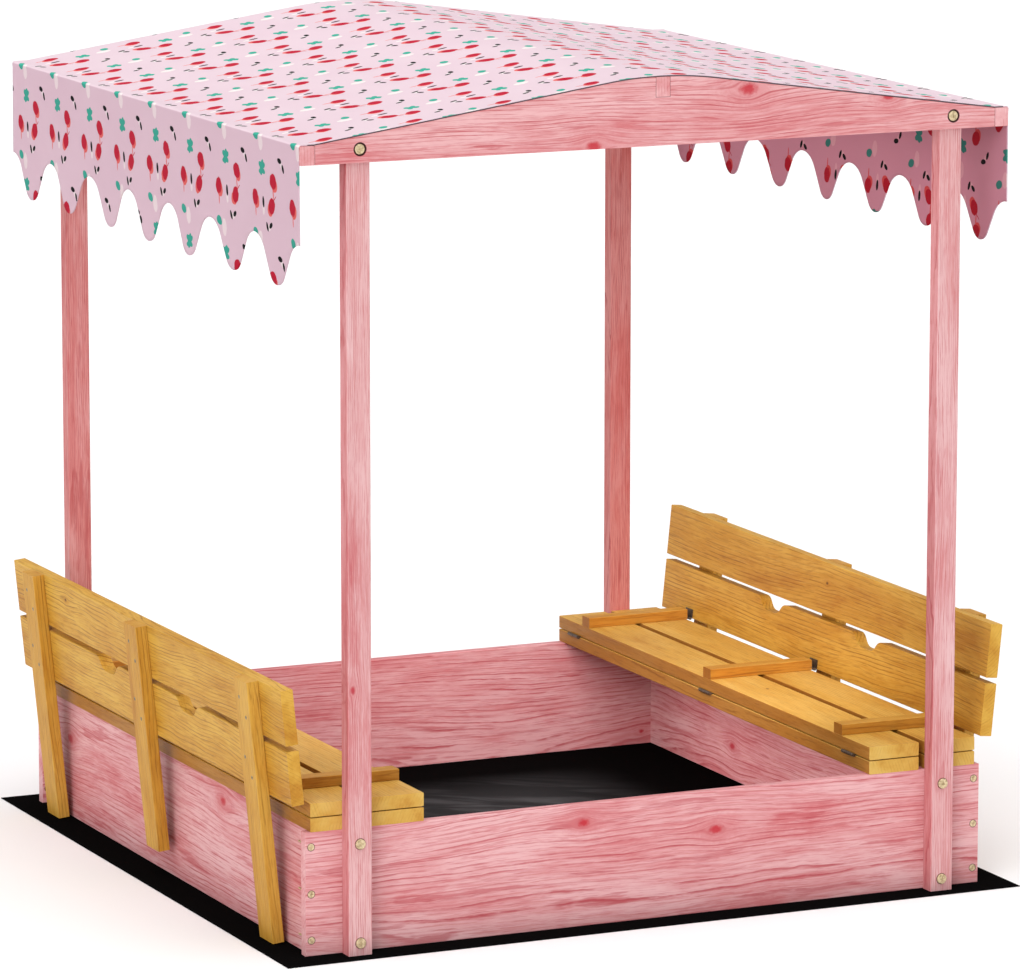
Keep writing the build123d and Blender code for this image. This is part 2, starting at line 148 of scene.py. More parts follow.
def new_material(name):
    """A material with a Principled shader; gives the material, its tree and the shader."""
    material = bpy.data.materials.new(name)
    material.use_nodes = True
    shader = material.node_tree.nodes["Principled BSDF"]
    return material, Tree(material.node_tree), shader


# ---------------------------------------------------------------- objects


def add_object(name, data):
    """A new object in the scene that holds a mesh, a lamp or a camera."""
    made = bpy.data.objects.new(name, data)
    bpy.context.scene.collection.objects.link(made)
    return made


def add_mesh(name, vertices, faces, materials):
    """A new object with smooth faces and these materials in its slots."""
    mesh = bpy.data.meshes.new(name)
    mesh.from_pydata(vertices, [], faces)
    mesh.polygons.foreach_set("use_smooth", [True] * len(faces))
    for material in materials:
        mesh.materials.append(material)
    mesh.update()
    return add_object(name, mesh)


def stacked(*surfaces):
    """The points of grids, one grid after another, as a list of vertices."""
    return np.concatenate([surface.reshape(-1, 3) for surface in surfaces]).tolist()


# Kinds of a cloth's faces: its two surfaces, its cut ends and its cut sides
UPPER, LOWER, END, SIDE = range(4)


def cloth_faces(columns, rows):
    """The faces of a cloth with two surfaces, as (kind, column, row, corners).

    Its vertices are two grids, first the upper surface's and then the lower's, column after column.
    The columns stand side by side towards +Y, and each runs towards +X."""

    def at(j, i, layer=0):
        return (layer * columns + j) * rows + i

    for j in range(columns - 1):
        for i in range(rows - 1):
            yield UPPER, j, i, (at(j, i), at(j, i + 1), at(j + 1, i + 1), at(j + 1, i))
            yield LOWER, j, i, (at(j, i, 1), at(j + 1, i, 1), at(j + 1, i + 1, 1), at(j, i + 1, 1))
    for i in range(rows - 1):
        for j, turn in ((0, -1), (columns - 1, 1)):
            yield END, j, i, (at(j, i), at(j, i + 1), at(j, i + 1, 1), at(j, i, 1))[::turn]
    for j in range(columns - 1):
        for i, turn in ((0, 1), (rows - 1, -1)):
            yield SIDE, j, i, (at(j, i), at(j + 1, i), at(j + 1, i, 1), at(j, i, 1))[::turn]


# ---------------------------------------------------------------- wood

# Noises in the pine: their scale along the grain and across it, detail and roughness
WAVE = (1.8, 5.0, 0.0, 0.5)
RIPPLE = (7.0, 20.0, 1.0, 0.5)
RAGGED = (45.0, 160.0, 1.0, 0.5)
FADE = (9.0, 60.0, 4.0, 0.65)
FIBRE = (9.0, 300.0, 4.0, 0.75)
CLOUD = (3.2, 15.0, 6.0, 0.66)
PORE = (30.0, 520.0, 1.0, 0.5)
STREAK = (5.5, 48.0, 2.5, 0.55)
# How far, in metres, the first three of them bend the growth rings
WAVE_REACH, RIPPLE_REACH, RAGGED_REACH = 0.048, 0.011, 0.0014
# How far, in metres, one unit of a board's seed moves it along the grain
SEED_STEP = 3.17
# What the pine gives for a place: ring line, fibre, stain cloud, pore and streak
GRAIN = ("Line", "Fibre", "Cloud", "Pore", "Streak")


def make_pine_group():
    """Growth rings cut by the board's faces, fibres and stain, from coordinates along the grain."""
    group = bpy.data.node_groups.new("pine", "ShaderNodeTree")
    face = group.interface
    for name in ("Along", "Across", "Depth", "Seed", "Pith across", "Pith depth", "Rings", "Wander"):
        face.new_socket(name, in_out="INPUT", socket_type="NodeSocketFloat")
    for name in GRAIN:
        face.new_socket(name, in_out="OUTPUT", socket_type="NodeSocketFloat")
    t = Tree(group)
    given = t.node("NodeGroupInput").outputs
    along, across, depth, seed = (given[name] for name in ("Along", "Across", "Depth", "Seed"))
    shifted = t.add(along, t.mul(seed, SEED_STEP))

    def layer(noise, sideways, offset, distortion=0.0):
        """One of the noises above, at a place across the board and at an offset in depth."""
        along_steps, across_steps, detail, roughness = noise
        place = t.vector(
            t.mul(shifted, along_steps),
            t.mul(sideways, across_steps),
            t.add(t.mul(depth, across_steps), offset),
        )
        return t.noise(place, 1.0, detail, roughness, distortion)

    wave = t.sub(layer(WAVE, across, seed), 0.5)
    ripple = t.sub(layer(RIPPLE, across, seed), 0.5)
    ragged = t.sub(layer(RAGGED, across, seed), 0.5)
    bend = t.mul(t.add(t.mul(wave, WAVE_REACH), t.mul(ripple, RIPPLE_REACH)), given["Wander"])
    bend = t.add(bend, t.mul(ragged, RAGGED_REACH))
    from_pith = t.sub(t.add(across, bend), given["Pith across"])
    below = t.sub(t.add(depth, t.mul(bend, 0.6)), given["Pith depth"])
    radius = t.math("SQRT", t.add(t.mul(from_pith, from_pith), t.mul(below, below)))
    rings = t.mul(radius, given["Rings"])
    count = t.math("FLOOR", rings)
    part = t.math("FRACT", rings)
    own = t.node("ShaderNodeTexWhiteNoise", {"W": t.add(count, seed)}, noise_dimensions="1D")
    ring_strength = t.add(0.35, t.mul(own.outputs["Value"], 0.65))
    rise = t.smooth(part, 0.60, 0.90)
    fall = t.smooth(part, 0.92, 0.99, 1.0, 0.0)
    fade = t.smooth(layer(FADE, across, seed), 0.40, 0.55, 0.05, 1.0)
    level = t.add(across, bend)
    values = {
        "Line": t.mul(t.mul(rise, fall), t.mul(ring_strength, fade)),
        "Fibre": layer(FIBRE, level, 0.0),
        "Cloud": layer(CLOUD, level, seed, 0.2),
        "Pore": t.smooth(layer(PORE, level, 0.0), 0.56, 0.72),
        "Streak": t.smooth(layer(STREAK, level, seed), 0.635, 0.675),
    }
    out = t.node("NodeGroupOutput")
    for name, value in values.items():
        t.feed(out.inputs[name], value)
    return group


PINE = make_pine_group()

# Stains: the wood between the rings from pale to rich, the rings and pores (deep), the knots, rings per
# metre, how strongly rings, fibres and streaks show, painted light and shade for narrow side faces and a tint
# for end faces
TONES = {
    "pink": {
        "pale": linear(225, 175, 177), "mid": linear(214, 149, 151), "rich": linear(199, 108, 112),
        "deep": linear(178, 66, 74), "knot": linear(186, 30, 46), "rings": 150.0,
        "line": 0.95, "fibre": 1.0, "streak": 0.50, "rough": 0.56,
    },
    # The front posts, with painted shade on their side faces
    "pale_pink": {
        "pale": linear(221, 179, 180), "mid": linear(212, 158, 159), "rich": linear(198, 119, 121),
        "deep": linear(180, 80, 86), "knot": linear(178, 40, 56), "rings": 190.0,
        "line": 0.90, "fibre": 1.0, "streak": 0.40, "rough": 0.56, "sides": (0.90, 0.66, 0.67, 1),
    },
    # A darker copy of the post stain for the right back post: painted shade
    "deep_pink": {
        "pale": linear(203, 134, 130), "mid": linear(193, 108, 103), "rich": linear(178, 80, 76),
        "deep": linear(150, 50, 52), "knot": linear(150, 32, 42), "rings": 190.0,
        "line": 0.85, "fibre": 0.9, "streak": 0.40, "rough": 0.56,
    },
    # A less dark copy of the post stain for the left back post: painted shade
    "rose_pink": {
        "pale": linear(210, 152, 151), "mid": linear(200, 126, 124), "rich": linear(186, 94, 94),
        "deep": linear(160, 58, 62), "knot": linear(150, 32, 42), "rings": 190.0,
        "line": 0.85, "fibre": 0.9, "streak": 0.40, "rough": 0.56,
    },
    "honey": {
        "pale": linear(207, 160, 68), "mid": linear(196, 144, 52), "rich": linear(176, 116, 33),
        "deep": linear(124, 72, 18), "knot": linear(84, 44, 14), "rings": 190.0,
        "line": 0.62, "fibre": 0.62, "streak": 0.15, "rough": 0.50,
    },
    # A lighter copy of the honey stain for the seats: painted light on their tops, painted shade on their
    # narrow sides
    "honey_seat": {
        "pale": linear(217, 178, 91), "mid": linear(210, 165, 74), "rich": linear(194, 141, 53),
        "deep": linear(130, 78, 22), "knot": linear(84, 44, 14), "rings": 190.0,
        "line": 0.50, "fibre": 0.55, "streak": 0.10, "rough": 0.50,
        "sides": (0.62, 0.45, 0.36, 1), "ends": (0.93, 0.92, 0.95, 1),
    },
    # The battens, with painted shade on their side faces and a darker tint on their end faces
    "honey_batten": {
        "pale": linear(207, 159, 68), "mid": linear(195, 142, 53), "rich": linear(176, 116, 34),
        "deep": linear(124, 72, 18), "knot": linear(84, 44, 14), "rings": 190.0,
        "line": 0.60, "fibre": 0.60, "streak": 0.15, "rough": 0.50,
        "sides": (0.82, 0.70, 0.60, 1), "ends": (0.66, 0.50, 0.40, 1),
    },
    # The back slats, with a painted highlight on their top and bottom edges
    "honey_back": {
        "pale": linear(209, 163, 68), "mid": linear(196, 145, 52), "rich": linear(177, 118, 33),
        "deep": linear(124, 72, 18), "knot": linear(84, 44, 14), "rings": 190.0,
        "line": 0.80, "fibre": 0.62, "streak": 0.18, "rough": 0.50, "sides": (1.07, 1.13, 1.20, 1),
    },
}

# The painted shade round a fastener ends this far outside its head, in metres
SHADE_RING_EDGE = 0.0006
# The painted shade along a joint is full up to the first of these distances and gone at the second
SEAM_FULL, SEAM_END = 0.0004, 0.0014
PAINTED_SHADE_COLOUR = linear(56, 22, 20)
PAINTED_SHADE_STRENGTH = 0.92
# A knot is narrower across the grain than along it by this factor
KNOT_STRETCH = 0.62


def painted_shade_marks(t, place, fastener_shades, seam_shades):
    """Painted shade on a front or back face: how much of it falls round a fastener's head or along a joint.
    """
    x, _, z = t.split(place)
    dark = 0.0
    for at_x, at_z, radius in fastener_shades:
        dx, dz = t.sub(x, at_x), t.sub(z, at_z)
        apart = t.math("SQRT", t.add(t.mul(dx, dx), t.mul(dz, dz)))
        dark = t.math("MAXIMUM", dark, t.smooth(apart, radius, radius + SHADE_RING_EDGE, 1.0, 0.0))
    for at_x, at_z, half_width, half_height in seam_shades:
        over_x = t.sub(t.math("ABSOLUTE", t.sub(x, at_x)), half_width)
        over_z = t.sub(t.math("ABSOLUTE", t.sub(z, at_z)), half_height)
        apart = t.math("MAXIMUM", over_x, over_z)
        dark = t.math("MAXIMUM", dark, t.smooth(apart, SEAM_FULL, SEAM_END, 0.6, 0.0))
    return dark


def knot_marks(t, along, across, depth, knots):
    """How knots push the grain aside, and where their cores and their stained halos show."""
    bent, core, halo = across, 0.0, 0.0
    for knot_along, knot_across, radius in knots:
        dx = t.mul(t.sub(along, knot_along), KNOT_STRETCH)
        dy = t.sub(across, knot_across)
        apart = t.add(t.mul(dx, dx), t.mul(dy, dy))
        push = t.math("DIVIDE", t.mul(dy, (1.5 * radius) ** 2), t.add(apart, (1.3 * radius) ** 2))
        bent = t.sub(bent, push)
        away = t.math("DIVIDE", t.math("SQRT", apart), radius)
        uneven = t.vector(t.mul(along, 160.0), t.mul(across, 160.0), depth)
        wobble = t.sub(t.noise(uneven, 1.0, 2.0, 0.6), 0.5)
        in_core = t.smooth(t.add(away, t.mul(wobble, 0.7)), 0.25, 0.95, 1.0, 0.0)
        in_halo = t.smooth(t.add(away, t.mul(wobble, 3.0)), 0.6, 3.4, 1.0, 0.0)
        core = t.math("MAXIMUM", core, in_core)
        halo = t.math("MAXIMUM", halo, in_halo)
    return bent, core, halo


def wood(
    name, tone, order, centre, pith, knots=(), lean=0.0, wander=1.0, rings=1.0, seed=0.0, fastener_shades=(), seam_shades=(),
):
    """Stained pine. order names the model's axes that run along, across and into the board.

    Each knot is (along, across, radius) in metres from the board's centre. Each fastener shade is the
    (x, z, radius) of a ring of painted shade round a fastener in a front or back face, and each seam shade
    the (x, z, half width, half height) of a line of painted shade along the joint round something let into
    it."""
    colours = TONES[tone]
    material, t, shader = new_material(name)
    coordinates = t.node("ShaderNodeTexCoord").outputs
    place = coordinates["Object"]
    at = t.node("ShaderNodeVectorMath", {0: place, 1: centre}, operation="SUBTRACT").outputs[0]
    if lean:
        at = t.turn(at, lean, "Y")
    parts = t.split(at)
    along, across, depth = (parts[axis] for axis in order)
    bent, core, halo = knot_marks(t, along, across, depth, knots)
    grain = t.node(
        "ShaderNodeGroup",
        {
            "Along": along, "Across": bent, "Depth": depth, "Seed": seed, "Pith across": pith[0],
            "Pith depth": pith[1], "Rings": colours["rings"] * rings, "Wander": wander,
        },
        node_tree=PINE,
    ).outputs
    line, fibre, cloud, pore, streak = (grain[name] for name in GRAIN)
    # End faces show no pores, fainter rings and an even fibre
    end_grain = t.smooth(t.math("ABSOLUTE", t.split(coordinates["Normal"])[order[0]]), 0.80, 0.95)
    line = t.mul(line, t.sub(1.0, t.mul(end_grain, 0.5)))
    fibre = t.add(fibre, t.mul(end_grain, t.sub(0.49, fibre)))
    pore = t.mul(pore, t.sub(1.0, end_grain))
    # Stain from pale to rich in clouds, then streaks, fibres, rings, pores and knots over it
    body = t.mix(t.smooth(cloud, 0.38, 0.56), colours["pale"], colours["mid"])
    body = t.mix(t.smooth(cloud, 0.54, 0.68, 0.0, 0.85), body, colours["rich"])
    body = t.mix(t.mul(t.mul(streak, colours["streak"]), t.sub(1.0, end_grain)), body, colours["deep"])
    strength = 0.50 * colours["fibre"]
    body = t.mix(t.smooth(fibre, 0.50, 0.60, 0.0, strength), body, colours["rich"])
    body = t.mix(t.smooth(fibre, 0.48, 0.38, 0.0, strength), body, colours["pale"])
    body = t.mix(t.mul(line, colours["line"]), body, colours["deep"])
    body = t.mix(t.mul(pore, 0.30), body, colours["deep"])
    if knots:
        body = t.mix(t.mul(halo, 0.45), body, colours["rich"])
        body = t.mix(t.mul(core, 0.85), body, colours["knot"])
    # Painted light and shade by face direction: narrow side faces darker, or lighter on the back slats, as
    # light falls on them; end faces tinted
    for kind, axis in (("sides", order[1]), ("ends", order[0])):
        if kind in colours:
            turned = t.smooth(t.math("ABSOLUTE", t.split(coordinates["Normal"])[axis]), 0.6, 0.9)
            body = t.mix(turned, body, colours[kind], blend="MULTIPLY")
    # Painted shade round the fasteners and along the joints, where shadow falls
    if fastener_shades or seam_shades:
        body = t.mix(t.mul(painted_shade_marks(t, place, fastener_shades, seam_shades), PAINTED_SHADE_STRENGTH), body, PAINTED_SHADE_COLOUR)
    t.feed(shader.inputs["Base Color"], body)
    height = t.sub(t.mul(fibre, 0.6), t.add(t.mul(line, 0.5), t.mul(pore, 0.5)))
    t.feed(shader.inputs["Normal"], t.bump(height, 0.0005, 0.5))
    t.feed(shader.inputs["Roughness"], t.add(colours["rough"], t.mul(t.sub(fibre, 0.5), 0.25)))
    shader.inputs["Specular IOR Level"].default_value = 0.22
    return material


def dress(node, material):
    """Give a CAD node its material and leave its shape alone."""
    mesh = frame["nodes"][node].data
    mesh.materials.clear()
    mesh.materials.append(material)


def box_centre(node):
    low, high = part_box(node)
    return (low + high) / 2


# Each board's knots, as wood() takes them
BOARD_KNOTS = {
    "front_wall": [(-0.118, 0.070, 0.009), (0.118, 0.036, 0.011)],
    "front_gable_beam": [(0.150, 0.028, 0.014), (0.400, 0.004, 0.009), (-0.120, -0.050, 0.012)],
    "back_wall": [(0.553, -0.077, 0.005), (-0.330, -0.030, 0.010)],
    "left_wall": [(0.470, 0.036, 0.012), (-0.230, 0.073, 0.010)],
    "right_wall": [(-0.300, 0.020, 0.010), (0.250, -0.040, 0.009)],
    "back_gable_beam": [(-0.300, 0.010, 0.011), (0.260, -0.010, 0.009)],
    "post_front_left": [(-0.220, -0.012, 0.006)],
    "left_back_slat_upper": [(0.355, 0.018, 0.004)],
    "right_back_slat_upper": [(-0.020, 0.010, 0.004)],
    "right_seat_slat_inner": [(-0.120, 0.010, 0.004)],
}


def mirrored(node, radius, heights):
    """Rings of painted shade round the fasteners of one node that stand at both ends of a front or back face.
    """
    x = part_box(node)[1].x - radius
    return [(side * x, height, radius + SHADE_RING_EDGE) for side in (-1, 1) for height in heights]


def let_in(*nodes):
    """Lines of painted shade along the seams round the ends of the bars that are let into the gable beams."""
    boxes = [(box_centre(node), (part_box(node)[1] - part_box(node)[0]) / 2) for node in nodes]
    return [(centre.x, centre.z, half.x, half.z) for centre, half in boxes]


corner_low, corner_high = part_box("corner_screws")
bolt_low, bolt_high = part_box("wall_bolts")
SCREW_RADIUS, BOLT_RADIUS, RECESS_RADIUS = 0.0056, 0.0083, 0.0107
# Height of the middle corner screws
corner_middle = 0.101
corner_heights = (corner_low.z + SCREW_RADIUS, corner_middle, corner_high.z - SCREW_RADIUS)
bolt_heights = (bolt_low.z + BOLT_RADIUS, bolt_high.z - BOLT_RADIUS)
# Where painted shade rings the fasteners: corner screws on the walls, wall bolts on the posts, the gable
# bolts' recesses
FASTENER_SHADES = {
    "wall": mirrored("corner_screws", SCREW_RADIUS, corner_heights),
    "post": mirrored("wall_bolts", BOLT_RADIUS, bolt_heights),
    "gable": [
        (side * box_centre("post_front_right").x, box_centre("gable_bolts").z, RECESS_RADIUS)
        for side in (-1, 1)
    ],
}
SEAM_SHADES = let_in("ridge_bar", "left_eave_rail", "right_eave_rail")

# How far the backrests lean outwards
BACK_LEAN = math.radians(5.7)


def board_plan(node, pith):
    """What wood() has to know of one board, where it differs from wood()'s own defaults."""
    if node.startswith("post"):
        # The back posts take darker copies of the post stain as painted shade
        tone = "pale_pink" if "front" in node else "rose_pink" if "left" in node else "deep_pink"
        return dict(tone=tone, order=(Z, X, Y), pith=(0.30, 0.05), wander=0.5, rings=1.6, fastener_shades=FASTENER_SHADES["post"])
    if "gable" in node:
        return dict(tone="pink", order=(X, Z, Y), wander=0.7, rings=1.25, fastener_shades=FASTENER_SHADES["gable"], seam_shades=SEAM_SHADES)
    if node in ("front_wall", "back_wall"):
        return dict(tone="pink", order=(X, Z, Y), wander=0.75, fastener_shades=FASTENER_SHADES["wall"])
    if node in ("left_wall", "right_wall"):
        return dict(tone="pink", order=(Y, Z, X))
    if node == "ridge_bar" or "eave_rail" in node:
        return dict(tone="pink", order=(Y, X, Z), pith=(0.30, 0.0), wander=0.5, rings=1.3)
    lean = BACK_LEAN if "left" in node else -BACK_LEAN
    if "back_slat" in node:
        return dict(tone="honey_back", order=(Y, Z, X), lean=lean, wander=1.1)
    if "back_batten" in node:
        return dict(tone="honey", order=(Z, Y, X), lean=lean, wander=0.6)
    if "seat_batten" in node:
        return dict(tone="honey_batten", order=(X, Y, Z), wander=0.5)
    # The seat slats take the lighter copy of the honey stain, which is painted light
    return dict(tone="honey_seat", order=(Y, X, Z), pith=(2 * pith[0], pith[1]), wander=0.5)


for index, node in enumerate(sorted(frame["nodes"])):
    record_slot = next(p["material_slot"] for p in frame["record"]["subparts"] if p["node"] == node)
    if not record_slot.endswith("_wood"):
        continue
    # The pith lies outside the board, to one side of it and below its face
    pith = (random.choice((-1, 1)) * random.uniform(0.09, 0.16), random.uniform(-0.11, -0.07))
    plan = {"pith": pith, "seed": 1.0 + 0.37 * index, "knots": BOARD_KNOTS.get(node, ())}
    plan |= board_plan(node, pith)
    dress(node, wood(f"{plan['tone']}_{node}", centre=box_centre(node), **plan))


# ---------------------------------------------------------------- metal


def metal(name, colour, roughness, dark):
    """Plated steel: a cloudy, finely scratched plating."""
    material, t, shader = new_material(name)
    place = t.node("ShaderNodeTexCoord").outputs["Object"]
    cloud = t.noise(place, 260.0, 3.0, 0.6)
    scratch = t.noise(t.stretch(place, (3000, 500, 3000)))
    t.feed(shader.inputs["Base Color"], t.mix(t.smooth(cloud, 0.35, 0.75), colour, dark))
    t.feed(shader.inputs["Roughness"], t.add(roughness, t.mul(t.sub(cloud, 0.5), 0.3)))
    t.feed(shader.inputs["Normal"], t.bump(scratch, 0.00005, 0.4))
    shader.inputs["Metallic"].default_value = 0.45
    return material


yellow_zinc = metal("yellow_zinc", linear(226, 206, 166), 0.42, linear(166, 144, 106))
# The hinge leaves: plating darkened as painted shade, for the shade they sit in
hinge_zinc_shaded = metal("hinge_zinc_shaded", linear(104, 90, 76), 0.34, linear(62, 48, 36))
dull_zinc = metal("dull_zinc", linear(150, 142, 120), 0.5, linear(92, 84, 66))

for node in frame["nodes"]:
    if "leaves" in node:
        dress(node, hinge_zinc_shaded)
    elif "batten_screws" in node or "base_screws" in node:
        dress(node, dull_zinc)
    elif "screws" in node or "bolt" in node:
        dress(node, yellow_zinc)


# ---------------------------------------------------------------- printed canopy cloth

# Thickness of the cloth, and thickness and width of its hems
CLOTH = 0.0009
HEM = 0.0018
HEM_WIDTH = 0.009
# Radius of the cloth's bend over the eave, and height of its top face over the eave rails
FOLD = 0.004
EAVE_RISE = 0.0013
canopy_low, canopy_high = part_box("canopy")
half_length = canopy_high.y
side_x = canopy_high.x
tip_z = canopy_low.z
ridge_z = canopy_high.z
eave_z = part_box("left_eave_rail")[1].z + EAVE_RISE
rail_inner_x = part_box("right_eave_rail")[0].x
roof_pitch = math.radians(8.15)
# Radius of the crown that meets both slopes and still touches the ridge's height
crown_radius = (eave_z + math.tan(roof_pitch) * rail_inner_x - ridge_z) / (1 / math.cos(roof_pitch) - 1)
# The valance's free edge: round tips and round arches joined by straight flanks
SCALLOPS = 7
TIP_RADIUS = 0.030
ARCH_RADIUS = 0.050
ARCH_DROP = 0.155
# Steps of the mesh across the cloth, from the ridge to the valance's edge, and along it
CROWN_STEPS, SLOPE_STEPS, RAIL_STEPS, FOLD_STEPS, VALANCE_STEPS = 12, 40, 4, 6, 34
EAVE_STEPS = 340
# The painted shade along the gable hems stops this many steps before the end of the roof's profile
HEM_STOPS = 8
# How far the cloth sags, and how far from the ridge, the eave rails and the gables it begins to
SAG = 0.0045
SAG_FROM_RIDGE, SAG_FROM_RAIL, SAG_FROM_GABLE = 0.030, 0.005, 0.018
# How far the valance's free edge waves in and out
WAVING = 0.0030
# Slots of the canopy's materials
OUTSIDE, HEM_SHADE, INSIDE = range(3)

MAUVE = linear(234, 212, 221)
DEEP_MAUVE = linear(214, 176, 196)
PRINT = {
    "red": linear(198, 24, 56), "salmon": linear(234, 112, 106), "teal": linear(62, 180, 156),
    "white": linear(246, 238, 236), "black": linear(5, 4, 6),
}
# Size of the repeat along the eave and across it, and where its corner lies
TILE = (0.150, 0.153)
PRINT_AT = (0.004, 0.092)
# Width of two of the cloth's threads
THREAD_STEP = 0.0011
# Share of light that passes through the cloth
THROUGH = 0.14
# The marks are this much larger than listed
MARK_SIZE = 1.1
# Painted shade on the cloth where it hangs as a valance, which sets in just below the eave, and on its
# underside, which also shows the print duller
VALANCE_SHADE = (0.82, 0.73, 0.77, 1)
HANG_START, HANG_FULL = 0.0012, 0.0032
UNDERSIDE_SHADE = (0.75, 0.46, 0.50, 1)
# Each mark is (colour, across, down, half length, half width, turn in degrees), in millimetres in the tile
MARKS = [
    ("salmon", 5, 5, 12, 10.5, 60), ("red", 0, 0, 12.5, 11, 70), ("salmon", 2, 20, 9, 1.6, 85),
    ("salmon", 63, 12, 12, 10.5, -50), ("red", 68, 7, 12.5, 11.5, -60), ("red", 80, -6, 7, 0.9, -40),
    ("salmon", 78, 126, 12, 10, 40), ("red", 73, 121, 13, 11, 30), ("salmon", 74, 141, 9, 1.6, 80),
    ("white", 23, 64, 13, 8, 80), ("white", 35, 16, 7.5, 4, 85), ("black", 34, 4, 8.5, 3.8, 80),
    ("white", 57, 42, 6, 4.5, 10), ("black", 50, 41, 7.5, 3.4, 60), ("black", 64, 38, 6.5, 3.8, -30),
    ("white", 106, 92, 7, 3.5, 50), ("black", 99, 86, 8, 4, 10), ("black", 113, 97, 7, 3.4, 60),
    ("teal", 3, 55, 10, 6.5, 20), ("teal", 28, 104, 12, 7, -70), ("teal", 22, 100, 7, 4.5, 20),
    ("teal", 34, 100, 7, 4.5, -20), ("teal", 23, 110, 7, 4, -10), ("teal", 34, 109, 7, 4, 15),
]


def canopy_cloth(name, shade):
    """Woven polyester with a scattered print of ovals, leaves and dashes, placed by the cloth's own UV map.

    shade is multiplied into the whole print: the underside shows it duller, and darker with painted shade."""
    material, t, shader = new_material(name)
    uv = t.node("ShaderNodeUVMap", uv_map="cloth").outputs[0]
    wobble = t.sub(t.noise(t.stretch(uv, (90, 90, 90)), 1.0, 2.0, 0.5), 0.5)
    u, v = t.split(uv)[:2]
    cloud = t.noise(uv, 6.0, 3.0, 0.5)
    colour = t.mix(t.smooth(cloud, 0.3, 0.7, 0.0, 0.12), MAUVE, DEEP_MAUVE)
    for ink, right, down, long, wide, turn in MARKS:
        cell = []
        for place, size, start, offset in zip((u, v), TILE, PRINT_AT, (right, down)):
            share = t.math("FRACT", t.add(t.mul(place, 1 / size), 10.5 - (start + offset / 1000) / size))
            cell.append(t.mul(t.sub(share, 0.5), size))
        spot = t.node(
            "ShaderNodeMapping",
            {"Vector": t.vector(cell[0], cell[1], 0.0), "Rotation": (0, 0, math.radians(turn)),
             "Scale": (MARK_SIZE * long / 1000, MARK_SIZE * wide / 1000, 1)},
            vector_type="TEXTURE",
        ).outputs[0]
        length = t.node("ShaderNodeVectorMath", {0: spot}, operation="LENGTH").outputs["Value"]
        edge = t.add(length, t.mul(wobble, 0.35))
        colour = t.mix(t.smooth(edge, 0.90, 1.02, 1.0, 0.0), colour, PRINT[ink])
    # Painted shade on the hanging valance, then the given shade over the whole print
    height = t.split(t.node("ShaderNodeTexCoord").outputs["Object"])[Z]
    valance_shade_mask = t.smooth(height, eave_z - HANG_START, eave_z - HANG_FULL)
    colour = t.mix(valance_shade_mask, colour, VALANCE_SHADE, blend="MULTIPLY")
    colour = t.mix(1.0, colour, shade, blend="MULTIPLY")
    t.feed(shader.inputs["Base Color"], colour)
    crease = t.noise(uv, 14.0, 2.0, 0.5)
    surface = t.add(t.mul(t.weave(u, v, THREAD_STEP), 0.06), crease)
    t.feed(shader.inputs["Normal"], t.bump(surface, 0.002, 0.35))
    shader.inputs["Roughness"].default_value = 0.82
    shader.inputs["Specular IOR Level"].default_value = 0.08
    shader.inputs["Sheen Weight"].default_value = 0.03
    glow = t.node("ShaderNodeBsdfTranslucent", {"Color": colour})
    both = t.node("ShaderNodeMixShader", {0: THROUGH, 1: shader.outputs[0], 2: glow.outputs[0]})
    t.feed(t.tree.nodes["Material Output"].inputs["Surface"], both.outputs[0])
    return material


def painted_hem_shade():
    """Painted shade on the cloth's cut edge along the gables: a dark grey edge for the shadow line between
    cloth and gable.
    """
    material, t, shader = new_material("hem_painted_shade")
    place = t.node("ShaderNodeTexCoord").outputs["Object"]
    colour = t.mix(t.noise(place, 900.0, 2.0, 0.5), linear(70, 66, 72), linear(112, 104, 112))
    t.feed(shader.inputs["Base Color"], colour)
    shader.inputs["Roughness"].default_value = 0.85
    return material


def roof_profile():
    """The cloth's middle line from the ridge over the eave's fold, as (x, z) steps."""
    mid = CLOTH / 2
    steps = []
    for k in range(CROWN_STEPS + 1):
        a = roof_pitch * k / CROWN_STEPS
        steps.append((crown_radius * math.sin(a), ridge_z - crown_radius * (1 - math.cos(a)) - mid))
    crown_x = crown_radius * math.sin(roof_pitch)
    for k in range(1, SLOPE_STEPS + 1):
        x = crown_x + (rail_inner_x - crown_x) * (k / SLOPE_STEPS)
        steps.append((x, eave_z + math.tan(roof_pitch) * (rail_inner_x - x) - mid))
    for k in range(1, RAIL_STEPS + 1):
        x = rail_inner_x + (side_x - FOLD - rail_inner_x) * k / RAIL_STEPS
        steps.append((x, eave_z - mid))
    for k in range(1, FOLD_STEPS + 1):
        a = math.pi / 2 * k / FOLD_STEPS
        radius = FOLD - mid
        steps.append((side_x - FOLD + radius * math.sin(a), eave_z - FOLD + radius * math.cos(a)))
    return steps


def lengths_along(steps):
    """The length of a line up to each of its steps."""
    lengths = [0.0]
    for (x0, z0), (x1, z1) in zip(steps, steps[1:]):
        lengths.append(lengths[-1] + math.hypot(x1 - x0, z1 - z0))
    return lengths


